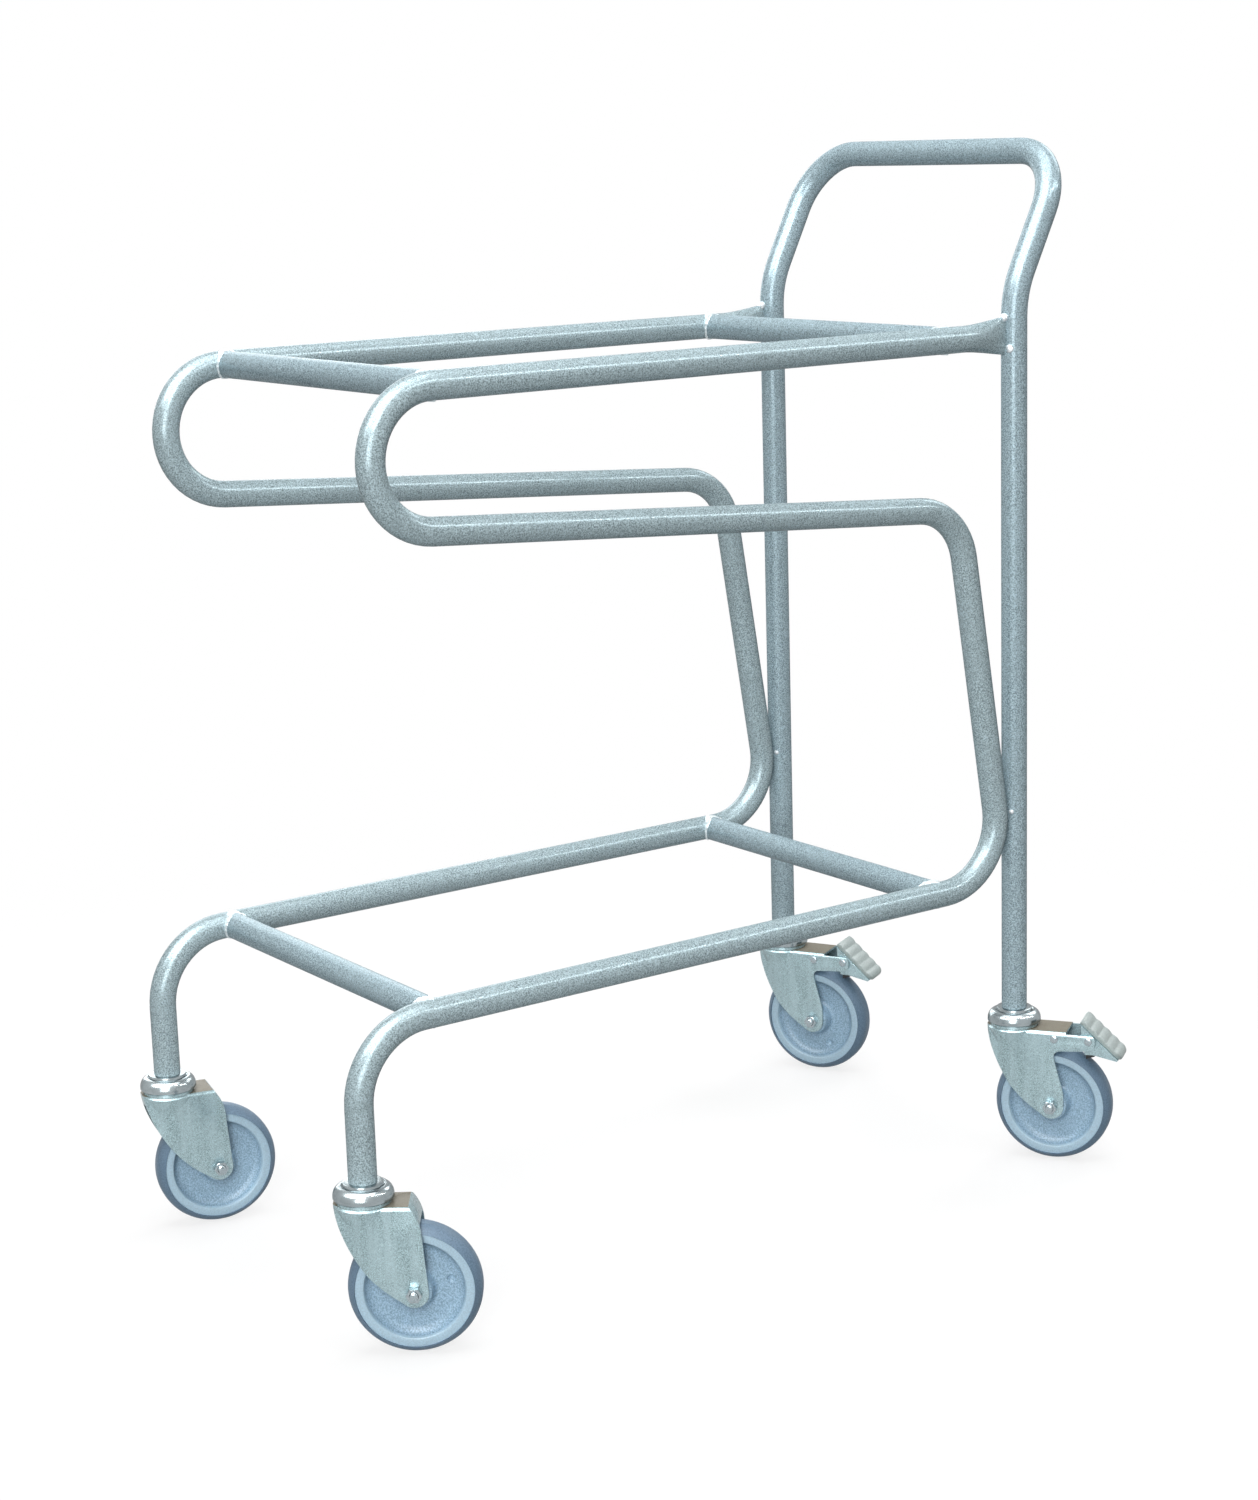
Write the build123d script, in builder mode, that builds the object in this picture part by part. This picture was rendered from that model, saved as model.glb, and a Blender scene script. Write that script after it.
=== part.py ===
from build123d import *
import os
from math import cos, pi, radians, sin, sqrt

# Crate trolley: two bent-tube side frames, a push handle and crossbars on four swivel casters.
# +Z is up, the nose points to -Y, the handle is at +Y and +X is the left side as pushed.
# The origin is on the floor, midway between the four caster stems. All sizes are millimetres.

# Tubes
TUBE_D = 26.9
TUBE_WALL = 2.0
WELD_GAP = 0.1  # left between tubes that are welded together
TRACK = 398.0  # between the axes of the two side frames
STEM_SPACING = 808.0  # front stems to rear stems

# Side frames
TOP_RAIL_Z = 881.0
LOWER_RAIL_Z = 308.0
NOSE_R = 64.7
NOSE_SETBACK = 109.3  # centre of the nose bend, behind the front leg
SECOND_RAIL_FALL = 3.9  # degrees, the second rail falls towards the rear
LEAN_ANGLE = 8.85  # degrees, the lean leg from upright
SECOND_BEND_R = 64.0
LOWER_BEND_R = 70.0
LEG_BEND_R = 72.0

# Rear ends of the top rails, pressed flat where they meet the uprights
FLAT_LENGTH = 64.0
FLAT_THICK = 6.0
FLAT_STEPS = ((0.45, 0.25), (0.8, 0.75))  # share of the length, and how far the tube is pressed there

# Push handle
HANDLE_BEND_Z = 924.0
GRIP_Z = 1064.0
GRIP_SETBACK = 70.0  # grip behind the uprights
HANDLE_LEAN_R = 107.0
GRIP_CORNER_R = 65.0

# Crossbars, each measured from the end of a straight run of its rail
TOP_FRONT_BAR_SETBACK = 3.0
TOP_REAR_BAR_SETBACK = 14.0
LOWER_BAR_SETBACK = 11.0

# Casters, and how far each wheel has swung round from trailing straight back, in degrees
TRAIL = 44.0
SWIVEL_ANGLE = {
    "front_left": 35.3,
    "front_right": 14.0,
    "rear_left": 55.2,
    "rear_right": 61.5,
}
BRAKED = ("rear_left", "rear_right")

# Fits
RUNNING_CLEARANCE = 0.05
PRESS_CLEARANCE = 0.03
SEAT_GAP = 0.3

# Wheels
WHEEL_D = 125.0
TREAD_W = 32.0
TREAD_CROWN_W = 11.0
TREAD_SHOULDER_W = 22.0  # across the tread, halfway round its shoulders
TREAD_SHOULDER_DROP = 2.2
TREAD_DEPTH = 7.1
RIM_W = 28.8
RIM_DEPTH = 8.2
DISH_DEPTH = 9.4
DISH_TAPER = 3.0
HUB_D = 32.0
HUB_SIDE_GAP = 1.0  # between the hub and each fork plate

# Axle
BOLT_D = 8.0
BUSH_D = 15.0
HEX_ACROSS_FLATS = 13.0
BOLT_HEAD_H = 5.3
NUT_H = 6.5
BOLT_END = 3.0  # bolt beyond the nut

# Fork, with its heights and lengths measured from the wheel and its axle
FORK_HEADROOM = 18.5  # between the tyre and the underside of the top plate
FORK_W = 44.0
FORK_SHEET = 2.5
FORK_FRONT = 28.0  # nose of the fork, and its round flare under the race, ahead of the swivel axis
FORK_FLARE_H = 22.0
FORK_FLARE_EDGE = 2.0  # bevel round the top of the flare
FORK_NOSE_W = 22.0
FORK_NOSE_R = 9.0
FORK_CREASE = 1.5  # where the flat side plates start, behind the swivel axis
FORK_CREASE_R = 18.0
FORK_FOLD_R = 4.0  # outside of the fold between the top plate and a side plate
FORK_BULGE = 12.3  # how far the front edge bows out
FORK_TIP_R = 13.5
FORK_TIP_ANGLE = 223.0  # degrees round the axle, where the front edge meets the tip
FORK_SHOULDER_BACK = 9.0  # shoulder of the rear edge, behind the axle
FORK_SHOULDER_DROP = 27.5  # and below the top
FORK_SHOULDER_BULGE = 2.6
FORK_TOP_SHORT = 2.0  # top plate's rear end ahead of the axle, on a caster with no brake
FORK_ROLL_H = 18.0  # how far that end is rolled down

# Swivel head, race and stem
HEAD_R = 28.5
HEAD_H = 15.5
HEAD_EDGE_H = 2.5
DOME_STEPS = 3  # flats that make up the dome
COLLAR_R = 19.0
COLLAR_H = 2.5
RACE_R = 25.5
RACE_BORE_R = 14.0
RACE_H = 3.2
KINGPIN_D = 16.0
KINGPIN_HEAD_D = 24.0
KINGPIN_HEAD_H = 4.0
STEM_DEPTH = 45.0  # inside the tube
STEM_CHAMFER = 2.0

# Brake on the rear casters
ARM_CHEEK_RISE = 15.5  # cheek of the rear edge, above the axle
ARM_CHEEK_R = 40.0
ARM_ROOT_BACK = 1.0  # root of the arm's lower edge, behind the axle
ARM_ROOT_DROP = 21.5  # and below the top
ARM_ROOT_R = 7.0
ARM_TOP_DROP = 2.0  # top edge of the arms below the top plate
ARM_END_BACK = 7.2  # end of the arms behind the brake's pivot
ARM_END_DROP = 10.0  # lower edge of the arms below the pivot
ARM_END_LOWER_R = 8.0
ARM_END_UPPER_R = 5.0
BRAKE_TOP_BACK = 16.0  # rear end of the top plate, behind the axle
BRAKE_PIVOT_BACK = 40.0
BRAKE_RIVET_BACK = 3.5
BRAKE_PIN_DROP = 8.0  # pins below the top
BRAKE_PIN_D = 6.0
PIN_HEAD_D = 8.5
PIN_HEAD_H = 1.9
PEDAL_TILT = 42.5  # degrees below level
PEDAL_FRONT = 20.0  # pedal ahead of the pivot, along its slope
PEDAL_REAR = 38.0
PEDAL_RISE = 7.3  # underside of the pedal above the pivot
PEDAL_W = 36.0
PEDAL_T = 4.2
PEDAL_CORNER_R = 9.0  # corners of the lower end
RIDGE_COUNT = 5
RIDGE_H = 1.6
LEVER_W = 38.0
LEVER_SHEET = 2.0
LEVER_FRONT = 7.5  # lever ahead of the pivot
LEVER_INSET = 2.0  # lever short of the pedal's ends
SHOE_W = 26.0
SHOE_REST_GAP = 1.8  # between the tread and the shoe's working corner
SHOE_ANGLE = 10.0  # degrees of that corner ahead of straight down from the pivot
SHOE_LENGTH = 9.5
SHOE_H = 7.0

# Worked out from the sizes above
TUBE_R = TUBE_D / 2
TUBE_BORE_R = TUBE_R - TUBE_WALL
SIDE_X = TRACK / 2
UPRIGHT_Y = STEM_SPACING / 2
LEG_Y = -STEM_SPACING / 2
NOSE_Y = LEG_Y + NOSE_SETBACK
NOSE_Z = TOP_RAIL_Z - NOSE_R
FLAT_START_Y = UPRIGHT_Y - TUBE_R - FLAT_LENGTH
FLAT_H = FLAT_THICK + pi * (TUBE_D - FLAT_THICK) / 2
LOWER_BEND_Y = UPRIGHT_Y - TUBE_D - WELD_GAP - LOWER_BEND_R
LEG_BEND_Y = LEG_Y + LEG_BEND_R
WHEEL_R = WHEEL_D / 2
FORK_INNER_W = FORK_W - 2 * FORK_SHEET
FORK_INNER_TOP_Z = WHEEL_D + FORK_HEADROOM
FORK_TOP_Z = FORK_INNER_TOP_Z + FORK_SHEET
FORK_BOTTOM_Z = WHEEL_R - FORK_TIP_R
HEAD_BOTTOM_Z = FORK_TOP_Z + RACE_H + SEAT_GAP
CASTER_H = HEAD_BOTTOM_Z + HEAD_H
KINGPIN_R = KINGPIN_D / 2
RIM_R = WHEEL_R - TREAD_DEPTH
BOLT_R = BOLT_D / 2
BUSH_R = BUSH_D / 2
PIN_R = BRAKE_PIN_D / 2
BRAKE_PIVOT_Y = TRAIL + BRAKE_PIVOT_BACK
BRAKE_RIVET_Y = TRAIL + BRAKE_RIVET_BACK
BRAKE_PIN_Z = FORK_TOP_Z - BRAKE_PIN_DROP
SIDE_SIGN = {"left": 1, "right": -1}
STEM_Y = {"front": LEG_Y, "rear": UPRIGHT_Y}


def keep(piece, name):
    """Names a finished piece and writes it as one STEP file."""
    piece.part.label = name
    export_step(piece.part, f"parts/{name}.step")


# Side frames: each is one bent tube, from its flattened rear end round to the front leg


def rail_section(side_x, along_y):
    """Plane across a top rail, facing the rear."""
    return Plane(origin=(side_x, along_y, TOP_RAIL_Z), x_dir=(1, 0, 0), z_dir=(0, 1, 0))


def side_frame_route():
    """Corners of the tube below the nose: nose end, both ends of the lean leg, and the front leg."""
    fall = radians(SECOND_RAIL_FALL)
    lean = radians(LEAN_ANGLE)
    nose_end_y = NOSE_Y - NOSE_R * sin(fall)
    nose_end_z = NOSE_Z - NOSE_R * cos(fall)
    bend_z = LOWER_RAIL_Z + LOWER_BEND_R
    reach = (LOWER_BEND_Y - nose_end_y) * cos(lean) + (bend_z - nose_end_z) * sin(lean)
    second_rail = (reach + LOWER_BEND_R) / cos(fall + lean)
    return (
        (nose_end_y, nose_end_z),
        (nose_end_y + second_rail * cos(fall), nose_end_z - second_rail * sin(fall)),
        (LOWER_BEND_Y + LOWER_BEND_R * (1 + sin(lean)) / cos(lean), LOWER_RAIL_Z),
        (LEG_Y, LOWER_RAIL_Z),
        (LEG_Y, CASTER_H),
    )


def make_side_frame(side):
    side_x = SIDE_SIGN[side] * SIDE_X
    with BuildPart() as side_frame:
        with BuildLine(Plane.YZ.offset(side_x)):
            Line((FLAT_START_Y, TOP_RAIL_Z), (NOSE_Y, TOP_RAIL_Z))
            CenterArc((NOSE_Y, NOSE_Z), NOSE_R, 90, 180 - SECOND_RAIL_FALL)
            FilletPolyline(*side_frame_route(), radius=[SECOND_BEND_R, LOWER_BEND_R, LEG_BEND_R])
        with BuildSketch(rail_section(side_x, FLAT_START_Y)):
            Circle(TUBE_R)
        sweep()
        # Flattened end, as tall as the pressed wall unrolls, then coped to the upright
        with BuildSketch(rail_section(side_x, FLAT_START_Y)):
            Circle(TUBE_R)
        for along, pressed in (*FLAT_STEPS, (1, 1)):
            with BuildSketch(rail_section(side_x, FLAT_START_Y + along * FLAT_LENGTH)):
                half_thick = TUBE_R + pressed * (FLAT_THICK / 2 - TUBE_R)
                half_height = TUBE_R + pressed * (FLAT_H / 2 - TUBE_R)
                Ellipse(half_thick, half_height)
        loft()
        with BuildSketch(rail_section(side_x, FLAT_START_Y + FLAT_LENGTH)):
            Ellipse(FLAT_THICK / 2, FLAT_H / 2)
        extrude(amount=TUBE_R)
        with BuildSketch(Plane.XY.offset(TOP_RAIL_Z)):
            with Locations((side_x, UPRIGHT_Y)):
                Circle(TUBE_R + WELD_GAP)
        extrude(amount=FLAT_H, both=True, mode=Mode.SUBTRACT)
        # Socket for the caster's stem
        with BuildSketch(Plane.XY.offset(CASTER_H)):
            with Locations((side_x, LEG_Y)):
                Circle(TUBE_BORE_R)
        extrude(amount=STEM_DEPTH + SEAT_GAP, mode=Mode.SUBTRACT)
    keep(side_frame, f"side_frame_{side}")


# Push handle: one tube bent to an inverted U and leaned back above the top rails


def make_push_handle():
    grip_y = UPRIGHT_Y + GRIP_SETBACK
    with BuildPart() as push_handle:
        with BuildLine():
            FilletPolyline(
                (SIDE_X, UPRIGHT_Y, CASTER_H),
                (SIDE_X, UPRIGHT_Y, HANDLE_BEND_Z),
                (SIDE_X, grip_y, GRIP_Z),
                (-SIDE_X, grip_y, GRIP_Z),
                (-SIDE_X, UPRIGHT_Y, HANDLE_BEND_Z),
                (-SIDE_X, UPRIGHT_Y, CASTER_H),
                radius=[HANDLE_LEAN_R, GRIP_CORNER_R, GRIP_CORNER_R, HANDLE_LEAN_R],
            )
        with BuildSketch(Plane.XY.offset(CASTER_H)):
            with Locations((SIDE_X, UPRIGHT_Y)):
                Circle(TUBE_R)
        sweep()
        with BuildSketch(Plane.XY.offset(CASTER_H)):
            with Locations((SIDE_X, UPRIGHT_Y), (-SIDE_X, UPRIGHT_Y)):
                Circle(TUBE_BORE_R)
        extrude(amount=STEM_DEPTH + SEAT_GAP, mode=Mode.SUBTRACT)
    keep(push_handle, "push_handle")


# Crossbars: straight tubes, coped to the rails at both ends


def make_crossbar(name, bar_y, bar_z, at_nose=False):
    with BuildPart() as crossbar:
        with BuildSketch(Plane.YZ):
            with Locations((bar_y, bar_z)):
                Circle(TUBE_R)
                Circle(TUBE_BORE_R, mode=Mode.SUBTRACT)
        extrude(amount=SIDE_X, both=True)
        # The rails' outline along the bar, which at the nose runs into the bend
        for side_x in (SIDE_X, -SIDE_X):
            with BuildLine(Plane.YZ.offset(side_x)):
                if at_nose:
                    Line((bar_y + TUBE_D, bar_z), (NOSE_Y, bar_z))
                    CenterArc((NOSE_Y, NOSE_Z), NOSE_R, 90, 90)
                else:
                    Line((bar_y + TUBE_D, bar_z), (bar_y - TUBE_D, bar_z))
            with BuildSketch(Plane.XZ.offset(-bar_y - TUBE_D)):
                with Locations((side_x, bar_z)):
                    Circle(TUBE_R + WELD_GAP)
            sweep(mode=Mode.SUBTRACT)
    keep(crossbar, f"crossbar_{name}")


# Planes of one caster


def caster_plane(corner):
    """Floor plane of a caster: its X runs along the axle and its Y the way the wheel trails."""
    end, side = corner.split("_")
    turn = radians(SWIVEL_ANGLE[corner])
    stem = (SIDE_SIGN[side] * SIDE_X, STEM_Y[end], 0)
    return Plane(origin=stem, x_dir=(cos(turn), -sin(turn), 0), z_dir=(0, 0, 1))


def side_plane(base, across=0):
    """Upright plane of a caster, square to its axle: X is the trail and Y is the height."""
    return Plane(origin=base.from_local_coords((across, 0, 0)), x_dir=base.y_dir, z_dir=base.x_dir)


def stem_profile_plane(base):
    """Upright plane through the stem: X is the radius from it and Y is the height."""
    return Plane(origin=base.origin, x_dir=base.x_dir, z_dir=-base.y_dir)


def axle_profile_plane(base):
    """Upright plane through the axle: X runs along it and Y is the radius from it."""
    return Plane(origin=base.from_local_coords((0, TRAIL, WHEEL_R)), x_dir=base.x_dir, z_dir=-base.y_dir)


# Stems and swivel heads, fixed in the ends of the tubes


def make_stems(bases):
    pin_head_top = FORK_INNER_TOP_Z - SEAT_GAP
    pin_head_bottom = pin_head_top - KINGPIN_HEAD_H
    stem_r = TUBE_BORE_R - PRESS_CLEARANCE
    stem_top = CASTER_H + STEM_DEPTH
    with BuildPart() as stems:
        for base in bases:
            with BuildSketch(stem_profile_plane(base)):
                with BuildLine():
                    Polyline(
                        (0, pin_head_bottom),
                        (KINGPIN_HEAD_D / 2, pin_head_bottom),
                        (KINGPIN_HEAD_D / 2, pin_head_top),
                        (KINGPIN_R, pin_head_top),
                        (KINGPIN_R, CASTER_H),
                        (stem_r, CASTER_H),
                        (stem_r, stem_top - STEM_CHAMFER),
                        (stem_r - STEM_CHAMFER, stem_top),
                        (0, stem_top),
                        close=True,
                    )
                make_face()
            revolve(axis=Axis(base.origin, base.z_dir))
    keep(stems, "caster_stems")


def dome_steps():
    """Points of the head's domed shoulder, from its edge up to its collar."""
    edge_z = HEAD_BOTTOM_Z + HEAD_EDGE_H
    collar_z = CASTER_H - COLLAR_H
    turns = [radians(90 * step / DOME_STEPS) for step in range(DOME_STEPS + 1)]
    return [
        (COLLAR_R + (HEAD_R - COLLAR_R) * cos(turn), edge_z + (collar_z - edge_z) * sin(turn))
        for turn in turns
    ]


def make_swivel_heads(bases):
    bore_r = KINGPIN_R + PRESS_CLEARANCE
    with BuildPart() as heads:
        for base in bases:
            with BuildSketch(stem_profile_plane(base)):
                with BuildLine():
                    Polyline(
                        (bore_r, HEAD_BOTTOM_Z),
                        (HEAD_R, HEAD_BOTTOM_Z),
                        *dome_steps(),
                        (COLLAR_R, CASTER_H),
                        (bore_r, CASTER_H),
                        close=True,
                    )
                make_face()
            revolve(axis=Axis(base.origin, base.z_dir))
    keep(heads, "swivel_heads")


# Forks: pressed sheet with a hooded front, two side plates, a top plate and the swivel race


def fork_plan(plane, rear):
    """Outline of the fork from above, running back to rear."""
    half = FORK_W / 2
    nose_half = FORK_NOSE_W / 2
    with BuildSketch(plane) as plan:
        with BuildLine():
            Polyline(
                (half, rear),
                (half, FORK_CREASE),
                (nose_half, -FORK_FRONT),
                (-nose_half, -FORK_FRONT),
                (-half, FORK_CREASE),
                (-half, rear),
                close=True,
            )
        make_face()
        fillet(plan.vertices().sort_by(Axis.Y)[2:4], radius=FORK_CREASE_R)
        fillet(plan.vertices().sort_by(Axis.Y)[:2], radius=FORK_NOSE_R)
    return plan


def fork_front_view(plane):
    """Outline of the fork from the front, with the folds between its top and side plates."""
    height = FORK_TOP_Z - FORK_BOTTOM_Z
    with BuildSketch(plane) as view:
        with Locations((0, FORK_TOP_Z - height / 2)):
            Rectangle(FORK_W, height)
        fillet(view.vertices().sort_by(Axis.Y)[-2:], radius=FORK_FOLD_R)
    return view


def fork_flare(plane):
    """Half section of the round flare under the race, tapering down into the side plates."""
    side = FORK_W / 2 - FORK_SHEET
    with BuildSketch(plane) as flare:
        with BuildLine():
            Polyline(
                (0, FORK_TOP_Z - FORK_FLARE_H),
                (side, FORK_TOP_Z - FORK_FLARE_H),
                (FORK_FRONT, FORK_TOP_Z - FORK_FLARE_EDGE),
                (FORK_FRONT - FORK_FLARE_EDGE, FORK_TOP_Z),
                (0, FORK_TOP_Z),
                close=True,
            )
        make_face()
    return flare


def fork_hollow_plan(plane, rear):
    """Outline of the space inside the fork from above, open at the rear."""
    with BuildSketch(plane) as hollow:
        add(fork_plan(Plane.XY, rear + FORK_W).sketch)
        offset(amount=-FORK_SHEET)
    return hollow


def rolled_end_view(plane, rear):
    """Side outline of the space inside a fork with no brake, under its top plate's rolled rear end."""
    roll_top = (TRAIL - FORK_TOP_SHORT - FORK_SHEET, FORK_INNER_TOP_Z)
    shoulder = (TRAIL + FORK_SHOULDER_BACK - FORK_SHEET, FORK_TOP_Z - FORK_SHOULDER_DROP)
    open_h = FORK_TOP_Z - FORK_ROLL_H - FORK_BOTTOM_Z
    with BuildSketch(plane) as view:
        with BuildLine():
            SagittaArc(roll_top, shoulder, FORK_SHOULDER_BULGE)
            Polyline(
                shoulder,
                (shoulder[0], FORK_BOTTOM_Z),
                (-FORK_FRONT, FORK_BOTTOM_Z),
                (-FORK_FRONT, FORK_INNER_TOP_Z),
                roll_top,
            )
        make_face()
        with Locations((0, FORK_BOTTOM_Z + open_h / 2)):
            Rectangle(2 * (rear + FORK_W), open_h)
    return view


def fork_hollow(base, rear, braked):
    """The space inside a fork, open below and behind."""
    with BuildPart() as hollow:
        plan = fork_hollow_plan(base.offset(FORK_BOTTOM_Z), rear)
        extrude(plan.sketch, amount=FORK_INNER_TOP_Z - FORK_BOTTOM_Z)
        if not braked:
            view = rolled_end_view(side_plane(base), rear)
            extrude(view.sketch, amount=FORK_W / 2, both=True, mode=Mode.INTERSECT)
    return hollow


def fork_front_edge():
    """Front edge of a side plate and its round tip. Gives the point where the tip ends."""
    turn = radians(FORK_TIP_ANGLE)
    tip_start = (TRAIL + FORK_TIP_R * cos(turn), WHEEL_R + FORK_TIP_R * sin(turn))
    SagittaArc((-FORK_FRONT, FORK_TOP_Z), tip_start, -FORK_BULGE)
    CenterArc((TRAIL, WHEEL_R), FORK_TIP_R, FORK_TIP_ANGLE, 360 - FORK_TIP_ANGLE)
    return (TRAIL + FORK_TIP_R, WHEEL_R)


def plain_fork_outline(plane):
    """Side outline of a fork with no brake."""
    shoulder = (TRAIL + FORK_SHOULDER_BACK, FORK_TOP_Z - FORK_SHOULDER_DROP)
    top_end = (TRAIL - FORK_TOP_SHORT, FORK_TOP_Z)
    with BuildSketch(plane) as outline:
        with BuildLine():
            tip_end = fork_front_edge()
            Line(tip_end, shoulder)
            SagittaArc(shoulder, top_end, -FORK_SHOULDER_BULGE)
            Line(top_end, (-FORK_FRONT, FORK_TOP_Z))
        make_face()
    return outline


def brake_fork_outline(plane):
    """Side outline of a fork whose plates run back as arms for the brake."""
    top_end = TRAIL + BRAKE_TOP_BACK
    arm_top = FORK_TOP_Z - ARM_TOP_DROP
    arm_end = BRAKE_PIVOT_Y + ARM_END_BACK
    with BuildSketch(plane) as outline:
        with BuildLine():
            tip_end = fork_front_edge()
            FilletPolyline(
                tip_end,
                (TRAIL + FORK_TIP_R, WHEEL_R + ARM_CHEEK_RISE),
                (TRAIL + ARM_ROOT_BACK, FORK_TOP_Z - ARM_ROOT_DROP),
                (arm_end, BRAKE_PIN_Z - ARM_END_DROP),
                (arm_end, arm_top),
                (top_end, arm_top),
                radius=[ARM_CHEEK_R, ARM_ROOT_R, ARM_END_LOWER_R, ARM_END_UPPER_R],
            )
            Polyline((top_end, arm_top), (top_end, FORK_TOP_Z), (-FORK_FRONT, FORK_TOP_Z))
        make_face()
    return outline


def make_fork(corner, base):
    braked = corner in BRAKED
    rear = BRAKE_PIVOT_Y + ARM_END_BACK if braked else TRAIL + FORK_TIP_R
    across = FORK_W / 2
    with BuildPart() as fork:
        # The plan outline drawn up, with the round flare, trimmed to the front and side outlines
        plan = fork_plan(base.offset(FORK_BOTTOM_Z), rear)
        extrude(plan.sketch, amount=FORK_TOP_Z - FORK_BOTTOM_Z)
        front_view = fork_front_view(stem_profile_plane(base))
        extrude(front_view.sketch, amount=rear, both=True, mode=Mode.INTERSECT)
        flare = fork_flare(stem_profile_plane(base))
        revolve(flare.sketch, axis=Axis(base.origin, base.z_dir))
        draw_outline = brake_fork_outline if braked else plain_fork_outline
        outline = draw_outline(side_plane(base))
        extrude(outline.sketch, amount=FORK_FRONT, both=True, mode=Mode.INTERSECT)
        # Hollow for the wheel
        add(fork_hollow(base, rear, braked).part, mode=Mode.SUBTRACT)
        # Raised race, with the hole for the kingpin
        with BuildSketch(base.offset(FORK_TOP_Z)):
            Circle(RACE_R)
            Circle(RACE_BORE_R, mode=Mode.SUBTRACT)
        extrude(amount=RACE_H)
        with BuildSketch(base.offset(FORK_INNER_TOP_Z)):
            Circle(KINGPIN_R + RUNNING_CLEARANCE)
        extrude(amount=FORK_SHEET, mode=Mode.SUBTRACT)
        # Holes for the axle bolt and the brake pins
        with BuildSketch(side_plane(base)):
            with Locations((TRAIL, WHEEL_R)):
                Circle(BOLT_R + PRESS_CLEARANCE)
            if braked:
                with Locations((BRAKE_PIVOT_Y, BRAKE_PIN_Z), (BRAKE_RIVET_Y, BRAKE_PIN_Z)):
                    Circle(PIN_R + PRESS_CLEARANCE)
        extrude(amount=across, both=True, mode=Mode.SUBTRACT)
        # Open end of the top plate between the brake arms
        if braked:
            top_end = TRAIL + BRAKE_TOP_BACK
            with BuildSketch(base.offset(FORK_INNER_TOP_Z)):
                with Locations((0, (top_end + rear) / 2)):
                    Rectangle(FORK_INNER_W, rear - top_end)
            extrude(amount=FORK_SHEET, mode=Mode.SUBTRACT)
    keep(fork, f"fork_{corner}")


# Axle: a bolt and nut through the fork, with a bush clamped between the plates


def make_axle_bolt(corner, base):
    across = FORK_W / 2
    with BuildPart() as bolt:
        with BuildSketch(side_plane(base, -across)):
            with Locations((TRAIL, WHEEL_R)):
                Circle(BOLT_R)
        extrude(amount=FORK_W + NUT_H + BOLT_END)
        with BuildSketch(side_plane(base, -across)):
            with Locations((TRAIL, WHEEL_R)):
                RegularPolygon(HEX_ACROSS_FLATS / 2, 6, major_radius=False)
        extrude(amount=-BOLT_HEAD_H)
    keep(bolt, f"axle_bolt_{corner}")


def make_axle_nut(corner, base):
    with BuildPart() as nut:
        with BuildSketch(side_plane(base, FORK_W / 2)):
            with Locations((TRAIL, WHEEL_R)):
                RegularPolygon(HEX_ACROSS_FLATS / 2, 6, major_radius=False)
                Circle(BOLT_R + PRESS_CLEARANCE, mode=Mode.SUBTRACT)
        extrude(amount=NUT_H)
    keep(nut, f"axle_nut_{corner}")


def make_axle_bush(corner, base):
    with BuildPart() as bush:
        with BuildSketch(side_plane(base)):
            with Locations((TRAIL, WHEEL_R)):
                Circle(BUSH_R)
                Circle(BOLT_R + PRESS_CLEARANCE, mode=Mode.SUBTRACT)
        extrude(amount=FORK_INNER_W / 2, both=True)
    keep(bush, f"axle_bush_{corner}")


# Wheels: a moulded core with a dished web, and a rubber tread round it


def wheel_profile(plane, half_profile):
    """Section of a ring of the wheel, whose points are given on one side of the wheel's middle."""
    other_half = [(-along, radius) for along, radius in reversed(half_profile)]
    with BuildSketch(plane) as profile:
        with BuildLine():
            Polyline(*half_profile, *other_half, close=True)
        make_face()
    return profile


def make_wheel_core(corner, base):
    hub_half = FORK_INNER_W / 2 - HUB_SIDE_GAP
    rim_half = RIM_W / 2
    web_half = rim_half - DISH_DEPTH
    rim_inner_r = RIM_R - RIM_DEPTH
    half_profile = [
        (hub_half, BUSH_R + RUNNING_CLEARANCE),
        (hub_half, HUB_D / 2),
        (web_half, HUB_D / 2 + DISH_TAPER),
        (web_half, rim_inner_r - DISH_TAPER),
        (rim_half, rim_inner_r),
        (rim_half, RIM_R),
    ]
    plane = axle_profile_plane(base)
    with BuildPart() as core:
        revolve(wheel_profile(plane, half_profile).sketch, axis=Axis(plane.origin, plane.x_dir))
    keep(core, f"wheel_core_{corner}")


def make_tread(corner, base):
    half_profile = [
        (TREAD_W / 2, RIM_R + PRESS_CLEARANCE),
        (TREAD_SHOULDER_W / 2, WHEEL_R - TREAD_SHOULDER_DROP),
        (TREAD_CROWN_W / 2, WHEEL_R),
    ]
    plane = axle_profile_plane(base)
    with BuildPart() as tread:
        revolve(wheel_profile(plane, half_profile).sketch, axis=Axis(plane.origin, plane.x_dir))
    keep(tread, f"tread_{corner}")


# Brake: a pedal on a channel-shaped lever that swings on a pin and presses a shoe on the tread


def lever_plane(base):
    """Side plane of the brake with its origin at the pivot."""
    pivot = base.from_local_coords((0, BRAKE_PIVOT_Y, BRAKE_PIN_Z))
    return Plane(origin=pivot, x_dir=base.y_dir, z_dir=base.x_dir)


def pedal_point(along, rise):
    """A point of the brake's side plane, measured along the pedal's slope and square to it."""
    tilt = radians(PEDAL_TILT)
    return (along * cos(tilt) + rise * sin(tilt), rise * cos(tilt) - along * sin(tilt))


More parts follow.
